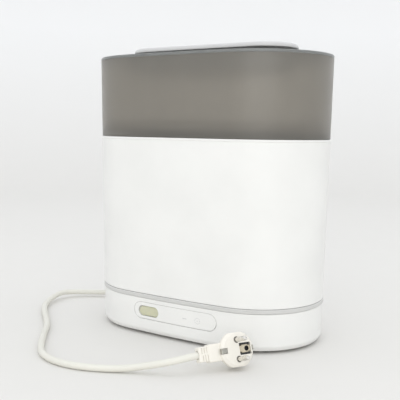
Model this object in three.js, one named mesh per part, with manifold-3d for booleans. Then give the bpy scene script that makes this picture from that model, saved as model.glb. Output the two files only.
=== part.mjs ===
// Electric steam steriliser: an oval base with a heating plate, two stacked baskets and a lid with a long
// plate to carry it by.
// Millimetres, +Z up, +X along the long side, the control panel faces -Y and the mains cord leaves at +Y.
// The origin is the centre of the footprint, on the surface that the feet stand on.
import * as THREE from 'three';
import Module from 'manifold-3d';
import { mergeVertices } from 'three/addons/utils/BufferGeometryUtils.js';

const wasm = await Module();
wasm.setup();

// ---------------------------------------------------------------- driving dimensions
const TOP_HALF_LENGTH = 145;       // outer wall at the lid's rim
const TOP_HALF_WIDTH = 83.7;
const LID_TOP_Z = 319.6;           // highest point of the lid's rim, under the carrying plate
const DRAFT = 0.017;               // each half size loses this much per millimetre down
const END_ROUNDNESS = 0.98;        // end radius over half width
const GAP = 0.3;                   // clearance between neighbouring pieces

const FOOT_HEIGHT = 3;             // the housing's bottom edge stands this high
const RING_BOTTOM_Z = 44;          // grey ring between the base and the large basket
const RING_TOP_Z = 48.7;
const LARGE_BOTTOM_Z = 49;
const LARGE_TOP_Z = 227.5;
const SMALL_BOTTOM_Z = 227.8;
const SMALL_TOP_Z = 316.3;
const LID_BOTTOM_Z = 316.6;
const WALL = 2.8;

const PLATE_HALF_LENGTH = 106.4;   // carrying plate on the lid
const PLATE_HALF_WIDTH = 36.5;
const PLATE_BOTTOM_Z = 326.7;
const PLATE_TOP_Z = 332.8;
const WELL_HALF_WIDTH = 41;        // finger well under the plate
const WELL_FLOOR_Z = 304.2;

const PANEL = { x: 2.9, z: 29.2, halfLength: 55.9, halfHeight: 9.5 };
const BUTTON = { x: -32.4, z: 28.5, halfLength: 14, halfHeight: 5.4 };
const BUTTON_FRONT_Y = -77.2;
const SWITCH_Z = 27.5;
const BOARD_FRONT_Y = -64.4;

const CORD_RADIUS = 3.5;
const CORD_X = 15;                 // where the cord leaves the base, at the back
const CORD_Z = 14.5;
const GLAND_END_Y = 112.7;

const PLUG = { x: 111.1, y: -118.8, z: 21.5, tilt: 69.4, turn: -28.9 };
const PIN_SPACING = 19;

// ---------------------------------------------------------------- materials
function finish(colour, roughness, metalness = 0, opacity = 1) {
  return new THREE.MeshStandardMaterial({
    color: colour, roughness, metalness, opacity, transparent: opacity < 1,
  });
}

const white = finish(0xf0efec, 0.4);
const creamWhite = finish(0xefece2, 0.5);
const ringGrey = finish(0xc9caca, 0.45);
const smoky = finish(0x77746c, 0.35, 0, 0.75);
const paleLens = finish(0xd6dcb4, 0.3);
const handleGrey = finish(0xdfe2e0, 0.3);
const rubber = finish(0x3a3a3a, 0.8);
const silicone = finish(0xb9b7b0, 0.7);
const steel = finish(0xb8bcc0, 0.35, 1);
const coated = finish(0x8c8f92, 0.4, 0.8);
const brass = finish(0xc8a860, 0.4, 1);
const boardGreen = finish(0x2f6b45, 0.6);
const darkPart = finish(0x2b2b2d, 0.6);
const cordWhite = finish(0xf0eee6, 0.5);
const liveBrown = finish(0x6b4226, 0.5);
const neutralBlue = finish(0x2f5fa8, 0.5);
const earthGreen = finish(0x7a9a2f, 0.5);

// ---------------------------------------------------------------- solids
function toSolid(geometry) {
  const bare = geometry.clone();
  bare.deleteAttribute('normal');
  bare.deleteAttribute('uv');
  const merged = mergeVertices(bare, 1e-4);
  return new wasm.Manifold(new wasm.Mesh({
    numProp: 3,
    vertProperties: new Float32Array(merged.attributes.position.array),
    triVerts: new Uint32Array(merged.index.array),
  }));
}

function toGeometry(solid) {
  const mesh = solid.getMesh();
  const geometry = new THREE.BufferGeometry();
  geometry.setAttribute('position', new THREE.BufferAttribute(mesh.vertProperties, 3));
  geometry.setIndex(new THREE.BufferAttribute(mesh.triVerts, 1));
  return geometry;
}

function cut(body, ...tools) {
  return toGeometry(tools.reduce((left, tool) => left.subtract(toSolid(tool)), toSolid(body)));
}

function join(body, ...others) {
  return toGeometry(others.reduce((sum, other) => sum.add(toSolid(other)), toSolid(body)));
}

function overlapOf(first, second) {
  return toGeometry(toSolid(first).intersect(toSolid(second)));
}

function box(sizeX, sizeY, sizeZ, x, y, z) {
  return new THREE.BoxGeometry(sizeX, sizeY, sizeZ).translate(x, y, z);
}

// A round piece about +Z through (x, y). The profile runs from the axis at the bottom to that at the top.
function turned(profile, x = 0, y = 0, sides = 24) {
  const points = profile.map(([radius, z]) => new THREE.Vector2(radius, z));
  return new THREE.LatheGeometry(points, sides).rotateX(Math.PI / 2).translate(x, y, 0);
}

function disc(radius, bottom, top, x = 0, y = 0, sides = 24) {
  return turned([[0, bottom], [radius, bottom], [radius, top], [0, top]], x, y, sides);
}

// A round piece about the Y axis: the profile runs from its -Y end to its +Y end.
function turnedAlongY(profile, x, z, sides = 20) {
  return turned(profile, 0, 0, sides).rotateX(-Math.PI / 2).translate(x, 0, z);
}

// A flat outline with round ends, long along X and standing on Z, pushed through from frontY to backY.
function pillThrough(pill, frontY, backY, grow = 0) {
  const radius = pill.halfHeight + grow;
  const reach = pill.halfLength - pill.halfHeight;
  const outline = new THREE.Shape();
  outline.absarc(reach, 0, radius, -Math.PI / 2, Math.PI / 2, false);
  outline.absarc(-reach, 0, radius, Math.PI / 2, Math.PI * 1.5, false);
  const run = { depth: backY - frontY, bevelEnabled: false, curveSegments: 10 };
  const solid = new THREE.ExtrudeGeometry(outline, run);
  return solid.rotateX(Math.PI / 2).translate(pill.x, backY, pill.z);
}

// A long hole with round ends, lying on XY, cut from bottom to top.
function slot(halfLength, halfWidth, bottom, top, x, y, alongY = false) {
  const outline = new THREE.Shape();
  outline.absarc(halfLength - halfWidth, 0, halfWidth, -Math.PI / 2, Math.PI / 2, false);
  outline.absarc(halfWidth - halfLength, 0, halfWidth, Math.PI / 2, Math.PI * 1.5, false);
  const run = { depth: top - bottom, bevelEnabled: false, curveSegments: 2 };
  const solid = new THREE.ExtrudeGeometry(outline, run);
  if (alongY) solid.rotateZ(Math.PI / 2);
  return solid.translate(x, y, bottom);
}

// A tube of the given radius along a list of points.
function tube(points, radius, sides, steps) {
  const section = new THREE.Shape();
  for (let i = 0; i < sides; i += 1) {
    const turn = (i / sides) * Math.PI * 2;
    const at = [radius * Math.cos(turn), radius * Math.sin(turn)];
    if (i === 0) section.moveTo(...at);
    else section.lineTo(...at);
  }
  section.closePath();
  const path = Array.isArray(points)
    ? new THREE.CatmullRomCurve3(points.map((p) => new THREE.Vector3(...p)), false, 'centripetal')
    : points;
  return new THREE.ExtrudeGeometry(section, { steps, extrudePath: path, bevelEnabled: false });
}

// ---------------------------------------------------------------- the oval plan
const END_STEPS = 10;
const SIDE_STEPS = 4;

// One oval of four arcs, counter-clockwise seen from above. The inset moves every arc inwards alike.
function ovalRing(halfLength, halfWidth, inset, z) {
  const endRadius = END_ROUNDNESS * halfWidth;
  const endCentre = halfLength - endRadius;
  const sideRadius = (endCentre ** 2 + halfWidth ** 2 - endRadius ** 2) / (2 * (halfWidth - endRadius));
  const sideCentre = sideRadius - halfWidth;
  const seam = Math.atan2(sideCentre, endCentre);
  const ring = [];
  const arc = (cx, cy, radius, from, to, steps) => {
    for (let i = 0; i < steps; i += 1) {
      const turn = from + ((to - from) * i) / steps;
      ring.push([cx + (radius - inset) * Math.cos(turn), cy + (radius - inset) * Math.sin(turn), z]);
    }
  };
  arc(endCentre, 0, endRadius, -seam, seam, END_STEPS);
  arc(0, -sideCentre, sideRadius, seam, Math.PI - seam, SIDE_STEPS);
  arc(-endCentre, 0, endRadius, Math.PI - seam, Math.PI + seam, END_STEPS);
  arc(0, sideCentre, sideRadius, Math.PI + seam, 2 * Math.PI - seam, SIDE_STEPS);
  return ring;
}

// Rings joined one after another. They run over the top outwards, down the outside and back underneath.
// An open run is closed with a flat face over its first and its last ring.
function ringSolid(rings, closedRun) {
  const count = rings[0].length;
  const positions = rings.flat(2);
  const faces = [];
  const spans = closedRun ? rings.length : rings.length - 1;
  for (let k = 0; k < spans; k += 1) {
    const inner = k * count;
    const outer = ((k + 1) % rings.length) * count;
    for (let i = 0; i < count; i += 1) {
      const next = (i + 1) % count;
      faces.push(inner + i, outer + i, outer + next, inner + i, outer + next, inner + next);
    }
  }
  if (!closedRun) {
    const last = (rings.length - 1) * count;
    for (let i = 1; i < count - 1; i += 1) {
      faces.push(0, i, i + 1, last, last + i + 1, last + i);
    }
  }
  const geometry = new THREE.BufferGeometry();
  geometry.setAttribute('position', new THREE.Float32BufferAttribute(positions, 3));
  geometry.setIndex(faces);
  return geometry;
}

// A profile of [inset from the body's outer wall, z] pairs, carried round the tapering body.
function bodySweep(profile, closedRun = false) {
  const rings = profile.map(([inset, z]) => {
    const taper = DRAFT * (LID_TOP_Z - z);
    return ovalRing(TOP_HALF_LENGTH - taper, TOP_HALF_WIDTH - taper, inset, z);
  });
  return ringSolid(rings, closedRun);
}

// The same round any other oval, with no taper.
function ovalSweep(halfLength, halfWidth, profile, closedRun = false) {
  return ringSolid(profile.map(([inset, z]) => ovalRing(halfLength, halfWidth, inset, z)), closedRun);
}

// ---------------------------------------------------------------- the model
const steriliser = new THREE.Group();

function add(name, geometry, material, parent = steriliser) {
  const mesh = new THREE.Mesh(geometry, material);
  mesh.name = name;
  parent.add(mesh);
  return mesh;
}

// Rows of slots that keep inside an oval floor of the given half sizes.
function floorSlots(rowsY, columnsX, halfLength, bottom, top, halfLimit) {
  const tools = [];
  for (const y of rowsY) {
    for (const x of columnsX) {
      const endDistance = Math.hypot(Math.max(0, Math.abs(x) + halfLength - halfLimit.centre), y);
      if (endDistance < halfLimit.radius) tools.push(slot(halfLength, 3, bottom, top, x, y));
    }
  }
  return tools;
}

// ---------------------------------------------------------------- base
const COVER_SCREWS = [[88, 40], [-88, 40], [-88, -40], [88, -40]];
const FEET = [[100, -44], [100, 44], [-100, 44], [-100, -44]];
const CLAMP_SCREW_TURNS = [90, 210, 330];
const CLAMP_SCREW_RADIUS = 52.8;
const PAN_FLOOR_TOP = 34;
const PAN_FLOOR_BOTTOM = 31.5;

function clampScrewPlaces() {
  return CLAMP_SCREW_TURNS.map((degrees) => {
    const turn = THREE.MathUtils.degToRad(degrees);
    return [CLAMP_SCREW_RADIUS * Math.cos(turn), CLAMP_SCREW_RADIUS * Math.sin(turn)];
  });
}

function baseHousing() {
  const shell = bodySweep([
    [16, PAN_FLOOR_TOP], [11, 36], [7, 47.2], [2.9, 47.2], [2.9, RING_BOTTOM_Z - GAP],
    [0, RING_BOTTOM_Z - GAP], [0, 9.5], [0.9, 5.6], [3.9, FOOT_HEIGHT], [6.4, FOOT_HEIGHT],
    [WALL, 10], [WALL, 40.9], [5.8, 40.9], [8.6, 35], [14, PAN_FLOOR_BOTTOM],
  ]);
  const bosses = COVER_SCREWS.map(([x, y]) => disc(4, 5.6, 32, x, y, 8));
  bosses.push(...clampScrewPlaces().map(([x, y]) => disc(3.4, 28.4, 32, x, y, 8)));
  const holes = COVER_SCREWS.map(([x, y]) => disc(1.8, 5, 20, x, y, 8));
  holes.push(...clampScrewPlaces().map(([x, y]) => disc(1.8, 28, 32.2, x, y, 8)));
  holes.push(disc(44, 30, 36, 0, 0, 28));
  const recess = overlapOf(
    pillThrough(PANEL, -90, -70, GAP),
    bodySweep([[1.9, 43.6], [-2, 43.6], [-2, 14], [1.9, 14]], true),
  );
  holes.push(recess);
  holes.push(pillThrough(BUTTON, -90, -72, 0.4));
  holes.push(turnedAlongY([[0, 66], [6.3, 66], [6.3, 90], [0, 90]], CORD_X, CORD_Z));
  return cut(join(shell, ...bosses), ...holes);
}

function baseCover() {
  const plate = bodySweep([[30, 5.2], [6.9, 5.2], [6.9, 3], [30, 3]]);
  const guides = [-44, 24].map((x) => box(5, 7, 15, x, BOARD_FRONT_Y + 0.8, 12.6));
  const guideSlots = [-43, 23].map((x) => box(5, 2.2, 14, x, BOARD_FRONT_Y + 0.8, 15.2));
  const recesses = FEET.map(([x, y]) => disc(8.4, 2, 3.9, x, y, 12));
  const screwHoles = COVER_SCREWS.map(([x, y]) => disc(1.9, 2, 6, x, y, 6));
  const sinks = COVER_SCREWS.map(([x, y]) => disc(4, 2, 4.1, x, y, 8));
  const vents = [-24, -8, 8, 24].map((x) => slot(14, 1.6, 2, 6, x, 0, true));
  return cut(join(plate, ...guides), ...guideSlots, ...recesses, ...screwHoles, ...sinks, ...vents);
}

function screw(headRadius, headBottom, headTop, shankRadius, shankTop, x, y) {
  return turned([
    [0, headBottom], [headRadius, headBottom], [headRadius, headTop], [shankRadius, headTop],
    [shankRadius, shankTop], [0, shankTop],
  ], x, y, 8);
}

function foot(x, y) {
  return turned([[0, 0], [7.2, 0], [8, 0.8], [8, 3.6], [0, 3.6]], x, y, 12);
}

function trimRing() {
  return bodySweep([
    [5.5, RING_TOP_Z], [-0.2, RING_TOP_Z], [-0.67, RING_TOP_Z - 0.5], [-0.67, RING_BOTTOM_Z + 0.4],
    [-0.3, RING_BOTTOM_Z], [2.6, RING_BOTTOM_Z], [2.6, 47.5], [5.5, 47.5],
  ], true);
}

function controlPanel() {
  const skin = bodySweep([[1.6, 43], [0.15, 43], [0.15, 15], [1.6, 15]], true);
  return cut(overlapOf(pillThrough(PANEL, -90, -70), skin), pillThrough(BUTTON, -90, -70, 0.4));
}

function buildBase() {
  add('base_housing', baseHousing(), white);
  add('base_cover', baseCover(), white);
  COVER_SCREWS.forEach(([x, y], i) => {
    add(`cover_screw_${i + 1}`, screw(3.6, 3, 3.8, 1.5, 18, x, y), steel);
  });
  FEET.forEach(([x, y], i) => add(`foot_${i + 1}`, foot(x, y), rubber));
  add('trim_ring', trimRing(), ringGrey);
  add('control_panel', controlPanel(), white);
}

// ---------------------------------------------------------------- heating
const ELEMENT_RADIUS = 29;
const ELEMENT_Z = 27.6;

function heatingPlate() {
  return turned([
    [0, 31.2], [36, 31.2], [38.4, 30.2], [39.4, 28.4], [48.6, 28.4], [48.6, 30], [42.8, 30], [42, 31.8],
    [39, 33.2], [0, 33.2],
  ], 0, 0, 28);
}

function heatingElement() {
  const points = [];
  for (let degrees = 110; degrees <= 430; degrees += 20) {
    const turn = THREE.MathUtils.degToRad(degrees);
    points.push([ELEMENT_RADIUS * Math.cos(turn), ELEMENT_RADIUS * Math.sin(turn), ELEMENT_Z]);
  }
  const [startX, startY] = points[0];
  const [endX, endY] = points[points.length - 1];
  points.unshift([startX + 4, startY + 9, ELEMENT_Z - 4], [startX + 3, startY + 4, ELEMENT_Z - 1]);
  points.push([endX - 3, endY + 4, ELEMENT_Z - 1], [endX - 4, endY + 9, ELEMENT_Z - 4]);
  return tube(points, 3.2, 8, 26);
}

function clampRing() {
  const ring = turned([[45, 26.4], [56.5, 26.4], [56.5, 28], [45, 28], [45, 26.4]], 0, 0, 28);
  return cut(ring, ...clampScrewPlaces().map(([x, y]) => disc(1.8, 25, 29, x, y, 8)));
}

function thermostat() {
  return join(
    turned([[0, 19], [6, 19], [8, 20.5], [8, 29.6], [5.5, 30.8], [0, 30.8]], 0, -2, 14),
    box(4, 1, 8, -4, -2, 16.5), box(4, 1, 8, 4, -2, 16.5),
  );
}

function plateSeal() {
  const section = [[44.4, 30.35], [48.4, 30.35], [48.4, 31.2], [44.4, 31.2], [44.4, 30.35]];
  return turned(section, 0, 0, 28);
}

function buildHeating() {
  add('heating_plate', heatingPlate(), coated);
  add('plate_seal', plateSeal(), silicone);
  add('heating_element', heatingElement(), steel);
  add('clamp_ring', clampRing(), steel);
  clampScrewPlaces().forEach(([x, y], i) => {
    add(`clamp_ring_screw_${i + 1}`, screw(3.2, 24.4, 26.1, 1.5, 31.6, x, y), steel);
  });
  add('thermostat', thermostat(), brass);
  add('thermal_fuse', turnedAlongY([[0, -5], [2.4, -4], [2.4, 6], [0, 7]], 18, 28.2, 12), steel);
}

// ---------------------------------------------------------------- controls
const SPRING_TURNS = 3;
const SPRING_RADIUS = 2.6;

class Helix extends THREE.Curve {
  getPoint(t) {
    const turn = t * Math.PI * 2 * SPRING_TURNS;
    const x = BUTTON.x + SPRING_RADIUS * Math.cos(turn);
    const z = SWITCH_Z + SPRING_RADIUS * Math.sin(turn);
    return new THREE.Vector3(x, -72.6 + t * 3.7, z);
  }
}

function powerButton() {
  const cap = pillThrough(BUTTON, BUTTON_FRONT_Y, -74.5);
  const flange = pillThrough(BUTTON, -74.6, -73.4, 1.2);
  const stem = turnedAlongY([[0, -74], [1.5, -74], [1.5, -71.1], [0, -71.1]], BUTTON.x, SWITCH_Z, 12);
  return join(cap, flange, stem);
}

function circuitBoard() {
  return box(64, 1.6, 21.5, -10, BOARD_FRONT_Y + 0.8, 19.8);
}

function tactSwitch() {
  const body = box(6, 3.5, 6, BUTTON.x, BOARD_FRONT_Y - 2.05, SWITCH_Z);
  const plunger = turnedAlongY([[0, -69.1], [1.6, -69.1], [1.6, -67], [0, -67]], BUTTON.x, SWITCH_Z, 12);
  return join(body, plunger);
}

function indicatorLamp() {
  return turnedAlongY([
    [0, -70.2], [1.6, -69.8], [2.4, -68.4], [2.4, -65.8], [2.8, -65.8], [2.8, BOARD_FRONT_Y - GAP],
    [0, BOARD_FRONT_Y - GAP],
  ], -39, SWITCH_Z, 12);
}

function buildControls() {
  add('power_button', powerButton(), paleLens);
  add('button_spring', tube(new Helix(), 0.45, 5, 30), steel);
  add('circuit_board', circuitBoard(), boardGreen);
  add('tact_switch', tactSwitch(), darkPart);
  add('indicator_lamp', indicatorLamp(), paleLens);
  add('relay', box(19, 12, 15, 5, BOARD_FRONT_Y + 7.9, 17.4), darkPart);
  add('capacitor', turnedAlongY([[0, -62.5], [4, -62.5], [4, -52], [0, -52]], -14, 17, 14), neutralBlue);
}

// ---------------------------------------------------------------- mains inlet
function cordGland() {
  const profile = [
    [3.9, 71.6], [7.4, 71.6], [7.4, 73.7], [6, 73.7], [6, 78.9], [8.2, 78.9], [8.2, 81], [6.6, 83.5],
    [4.6, GLAND_END_Y], [3.9, GLAND_END_Y], [3.9, 71.6],
  ];
  return turnedAlongY(profile, CORD_X, CORD_Z, 14);
}

function cordClamp() {
  const bridge = box(26, 7, 9, CORD_X, 64.4, CORD_Z);
  const groove = turnedAlongY([[0, 60], [3.8, 60], [3.8, 70], [0, 70]], CORD_X, CORD_Z, 16);
  const holes = [-9, 9].map((dx) => disc(1.7, 9, 20, CORD_X + dx, 64.4, 8));
  return cut(bridge, groove, ...holes);
}

function terminalBlock() {
  const block = box(27, 11, 11, CORD_X, 46, 14.5);
  const bores = [-9, 0, 9].map((dx) => disc(1.9, 15.5, 21, CORD_X + dx, 46, 8));
  return cut(block, ...bores);
}

function buildInlet() {
  add('cord_clamp', cordClamp(), white);
  [-9, 9].forEach((dx, i) => {
    add(`clamp_screw_${i + 1}`, screw(1.4, 8.2, 12, 1.4, 19, CORD_X + dx, 64.4), steel);
  });
  add('terminal_block', terminalBlock(), creamWhite);
  add('live_wire', tube([
    [CORD_X - 9, 39.8, 14.5], [CORD_X - 12, 33, 12], [-14, 12, 9], [-24, -20, 8.5], [-22, -48, 12],
    [-22, BOARD_FRONT_Y + 2.4, 22],
  ], 1.1, 8, 16), liveBrown);
  add('neutral_wire', tube([
    [CORD_X, 39.8, 14.5], [CORD_X - 1, 32, 13], [10, 18, 11], [5.5, 4, 9], [4, -2, 11.4],
  ], 1.1, 8, 12), neutralBlue);
  add('earth_wire', tube([
    [CORD_X + 9, 39.8, 14.5], [CORD_X + 12, 33, 15], [38, 28, 18], [44, 20, 22], [46.5, 14, 24.9],
  ], 1.1, 8, 12), earthGreen);
}

// ---------------------------------------------------------------- baskets
function largeBasket() {
  const shell = bodySweep([
    [12, 60.5], [4.8, 61.4], [WALL, 66], [WALL, LARGE_TOP_Z - 0.6], [2.4, LARGE_TOP_Z], [0.1, LARGE_TOP_Z],
    [-0.5, LARGE_TOP_Z - 0.6], [-0.5, LARGE_TOP_Z - 2.4], [0, LARGE_TOP_Z - 2.9], [0, LARGE_BOTTOM_Z + 0.6],
    [0.6, LARGE_BOTTOM_Z], [5.9, LARGE_BOTTOM_Z], [5.9, 47.5], [8, 47.5], [8, 52.4], [WALL, 52.4],
    [WALL, 56.4], [12, 57.8],
  ]);
  const rows = [-44, -22, 0, 22, 44];
  const columns = [-72, -24, 24, 72];
  return cut(shell, ...floorSlots(rows, columns, 18, 55, 63, { centre: 63, radius: 64 }));
}

function smallBasket() {
  const shell = bodySweep([
    [12, 232.6], [4.8, 233.4], [2.6, 238], [2.6, SMALL_TOP_Z], [0, SMALL_TOP_Z], [0, SMALL_BOTTOM_Z + 0.6],
    [0.5, SMALL_BOTTOM_Z], [3.3, SMALL_BOTTOM_Z], [3.3, 223], [5.6, 223], [5.6, 228.8], [12, 230.2],
  ]);
  const rows = [-36, -12, 12, 36];
  const columns = [-66, -22, 22, 66];
  return cut(shell, ...floorSlots(rows, columns, 17, 228, 235, { centre: 63, radius: 62 }));
}

function itemsPlate() {
  const tray = bodySweep([
    [14, 236.4], [9.4, 237], [8.2, 246], [6.2, 246], [7.4, 235.4], [12, 234.2],
  ]);
  const rows = [-40, -20, 0, 20, 40];
  return cut(tray, ...floorSlots(rows, [-54, 0, 54], 20, 233, 238, { centre: 63, radius: 60 }));
}

// ---------------------------------------------------------------- lid
const POSTS_X = [-62, 0, 62];

function lid() {
  const cover = bodySweep([
    [20, 318.8], [6, 318.8], [2, LID_TOP_Z], [0.8, LID_TOP_Z], [0, LID_TOP_Z - 0.8], [0, LID_BOTTOM_Z],
    [3, LID_BOTTOM_Z], [3, 312], [5, 312], [5, 316.2], [20, 316.6],
  ]);
  const cup = ovalSweep(PLATE_HALF_LENGTH, WELL_HALF_WIDTH, [
    [0, 317.6], [1.4, 304], [4, 301.8], [14, 301.8],
  ]);
  const hollow = ovalSweep(PLATE_HALF_LENGTH, WELL_HALF_WIDTH, [
    [2.2, 325], [2.2, 317.6], [3.6, 306], [6, WELL_FLOOR_Z], [14, WELL_FLOOR_Z],
  ]);
  const posts = POSTS_X.map((x) => disc(6, WELL_FLOOR_Z - 1, PLATE_BOTTOM_Z - GAP, x, 0, 12));
  const bores = POSTS_X.flatMap((x) => [disc(2.3, 300, 330, x, 0, 8), disc(4.3, 300, 307, x, 0, 8)]);
  const vents = [-31, 31].flatMap((x) => [-8, 8].map((y) => slot(9, 2, 300, 306, x, y)));
  const open = cut(join(cover, cup), hollow);
  return cut(join(open, ...posts), ...bores, ...vents);
}

function lidHandle() {
  const plate = ovalSweep(PLATE_HALF_LENGTH, PLATE_HALF_WIDTH, [
    [22, PLATE_TOP_Z], [8, 332.5], [3.6, 331.9], [1.5, 330.9], [0.4, 329.2], [0, 327.4],
    [0.5, PLATE_BOTTOM_Z], [14, PLATE_BOTTOM_Z],
  ]);
  return cut(plate, ...POSTS_X.map((x) => disc(2.3, 325, 331, x, 0, 8)));
}

function buildStack() {
  add('large_basket', largeBasket(), white);
  add('small_basket', smallBasket(), smoky);
  add('small_items_plate', itemsPlate(), smoky);
  add('lid', lid(), smoky);
  add('lid_handle', lidHandle(), handleGrey);
  POSTS_X.forEach((x, i) => {
    add(`handle_screw_${i + 1}`, screw(3.8, 304.2, 306.6, 1.8, 330.6, x, 0), steel);
  });
}

// ---------------------------------------------------------------- mains cord
// The cord leaves the gland backwards, comes round the left end and runs to the plug in front.
const CORD_ROUTE = [
  [15, 113, 14.5], [15, 125, 13.4], [11.8, 138.5, 11.2], [3.5, 149, 8.8], [-9.5, 156, 6.6], [-27, 158, 5],
  [-47, 153, 4], [-69, 142.5, 3.8], [-93, 127.5, 3.8], [-117, 109, 3.8], [-140, 89, 4], [-160, 70, 4.8],
  [-179, 53, 5.7], [-198, 38.5, 6.4], [-212, 30, 6.2], [-224.5, 21, 6.4], [-233.5, 10.5, 7.2],
  [-238, -2, 8.2], [-237.5, -15.5, 8], [-233.5, -29, 7], [-227.5, -43, 6], [-218.5, -57.5, 4.8],
  [-206, -71.5, 4],
  [-188, -88, 3.6], [-151, -121, 3.6], [-126, -150, 3.6], [-109.5, -169, 3.6], [-85, -194, 3.6],
  [-72, -203, 3.6], [-57, -209, 3.6], [-41, -211.5, 3.6], [-24, -210.5, 3.6], [-7, -206, 3.6],
  [9, -199, 3.8], [24, -191, 4.6], [38, -183.5, 6.8], [51, -177.5, 9.8], [63, -172.5, 13],
  [72.5, -167, 15.8], [82.1, -154.2, 18], [84.9, -148.8, 18.3],
];

// The plug's own frame: +Z along the pins out of the face, +X towards the lower pin, cord side at -Y.
const NECK = { start: -10, end: -30.5, halfHeight: 8.8, halfThickness: 5 };
const RELIEF = { start: -29.5, end: -41, halfHeight: 7.4, halfThickness: 4.6 };
const RELIEF_Z = -9;

function plugBody() {
  const dome = turned([
    [0, -17.6], [12, -17.6], [14, -15.5], [16.5, -11], [18.3, -6], [18.5, -2.4], [17.2, -0.5], [15.5, 0],
    [0, 0],
  ], 0, 0, 24);
  const [neck, relief] = [NECK, RELIEF].map(({ start, end, halfHeight, halfThickness }) => (
    box(2 * halfHeight, start - end, 2 * halfThickness, 0, (start + end) / 2, RELIEF_Z)
  ));
  const flats = [-1, 1].map((side) => box(6, 40, 30, side * 19.8, 0, -8));
  const socket = box(12, 13, 7, 0, 8.3, -3);
  const clipSeats = [box(5.6, 4, 12, 0, 18.6, -5.5), box(5.6, 8, 5, 0, -15.5, -2)];
  const cordSeat = disc(4.1, -42, -37.5, 0, 0, 12).rotateX(-Math.PI / 2).translate(0, 0, RELIEF_Z);
  return cut(join(dome, neck, relief), ...flats, socket, ...clipSeats, cordSeat);
}

function earthSocket() {
  return cut(box(7.6, 12.4, 5.2, 0, 8.3, -3.6), disc(2.6, -5.4, 1, 0, 10.6, 12));
}

function buildPlug() {
  const plug = new THREE.Group();
  plug.rotation.set(0, THREE.MathUtils.degToRad(PLUG.tilt), THREE.MathUtils.degToRad(PLUG.turn), 'ZYX');
  plug.position.set(PLUG.x, PLUG.y, PLUG.z);
  steriliser.add(plug);
  add('plug_body', plugBody(), creamWhite, plug);
  add('earth_socket', earthSocket(), creamWhite, plug);
  const pinProfile = [[0, GAP], [2.4, GAP], [2.4, 17.6], [1.4, 19], [0, 19]];
  [-1, 1].forEach((side, i) => {
    const pin = turned(pinProfile, (side * PIN_SPACING) / 2, 0, 14);
    add(`plug_pin_${i + 1}`, pin, steel, plug);
  });
  add('earth_clip_1', box(5, 1.2, 10.6, 0, 17.5, -5.6), steel, plug);
  add('earth_clip_2', box(5, 6.2, 3.6, 0, -14.9, -2), steel, plug);
}

function buildCord() {
  add('cord_gland', cordGland(), creamWhite);
  add('power_cord', tube(CORD_ROUTE, CORD_RADIUS, 8, 50), cordWhite);
  const tailRoute = [71.2, 64, 54].map((y) => [CORD_X, y, CORD_Z]);
  add('cord_tail', tube(tailRoute, CORD_RADIUS, 10, 3), cordWhite);
}

buildBase();
buildHeating();
buildControls();
buildInlet();
buildStack();
buildPlug();
buildCord();

export default steriliser;
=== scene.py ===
"""Electric steam steriliser: the looks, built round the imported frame.

Metres, +Z up, control panel towards -Y. Profiles, screws, blocks and cutters are written in millimetres.
"""

import math

import bmesh
import bpy
from mathutils import Matrix, Vector


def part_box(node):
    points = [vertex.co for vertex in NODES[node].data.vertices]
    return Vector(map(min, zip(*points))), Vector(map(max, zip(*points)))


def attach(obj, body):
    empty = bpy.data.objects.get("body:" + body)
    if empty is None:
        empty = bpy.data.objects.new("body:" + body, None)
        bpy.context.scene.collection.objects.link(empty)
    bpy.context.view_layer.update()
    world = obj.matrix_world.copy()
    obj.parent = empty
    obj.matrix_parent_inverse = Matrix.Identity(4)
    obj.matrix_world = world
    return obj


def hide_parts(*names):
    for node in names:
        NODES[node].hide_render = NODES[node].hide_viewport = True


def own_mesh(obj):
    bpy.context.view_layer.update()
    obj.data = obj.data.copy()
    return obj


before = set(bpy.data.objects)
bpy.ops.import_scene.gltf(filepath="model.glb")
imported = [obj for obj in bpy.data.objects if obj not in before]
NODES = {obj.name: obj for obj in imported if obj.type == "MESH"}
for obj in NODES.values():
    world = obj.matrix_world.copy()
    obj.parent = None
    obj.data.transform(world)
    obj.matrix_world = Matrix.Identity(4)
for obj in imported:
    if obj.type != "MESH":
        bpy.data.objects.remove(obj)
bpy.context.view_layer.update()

# ---------------------------------------------------------------- sizes, from the frame
MM = 0.001
LID_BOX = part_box("lid")
RING_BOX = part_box("trim_ring")
LARGE_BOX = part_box("large_basket")
SMALL_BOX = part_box("small_basket")
PLATE_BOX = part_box("lid_handle")

HALF_LENGTH = LID_BOX[1].x
HALF_WIDTH = LID_BOX[1].y
TIER_GAP = 0.3 * MM      # between a tier and what it stands on
RING_TOP = RING_BOX[1].z
LARGE_BOTTOM = RING_TOP + TIER_GAP
LARGE_TOP = LARGE_BOX[1].z
SMALL_BOTTOM = LARGE_TOP + TIER_GAP
SMALL_TOP = SMALL_BOX[1].z
LID_TOP = 319.6 * MM
DRAFT = 0.017            # each half size loses this much per unit of height down from the lid
END_ROUNDNESS = 0.98     # end radius over half width
AXIS = 0.01              # millimetres from its axis at which a round piece starts

PANEL = {"x": 2.9 * MM, "z": 29.2 * MM, "half_length": 55.9 * MM, "half_height": 9.5 * MM}
BUTTON = {"x": -32.4 * MM, "z": 28.5 * MM, "half_length": 14 * MM, "half_height": 5.4 * MM}
# The panel sits a little off centre in its recess, and the button in its opening: their gaps are uneven.
PANEL_RECESS = {**PANEL, "x": PANEL["x"] + 0.16 * MM, "z": PANEL["z"] - 0.13 * MM}
BUTTON_OPENING = {**BUTTON, "x": BUTTON["x"] - 0.16 * MM, "z": BUTTON["z"] + 0.12 * MM}
SWITCH_Z = 27.5 * MM
CORD_X = 15 * MM
CORD_Z = 14.5 * MM
CORD_RADIUS = 3.5 * MM
PIN_SPACING = 19 * MM
WELL_HALF_WIDTH = 41 * MM
POSTS_X = [-62 * MM, 0, 62 * MM]


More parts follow.
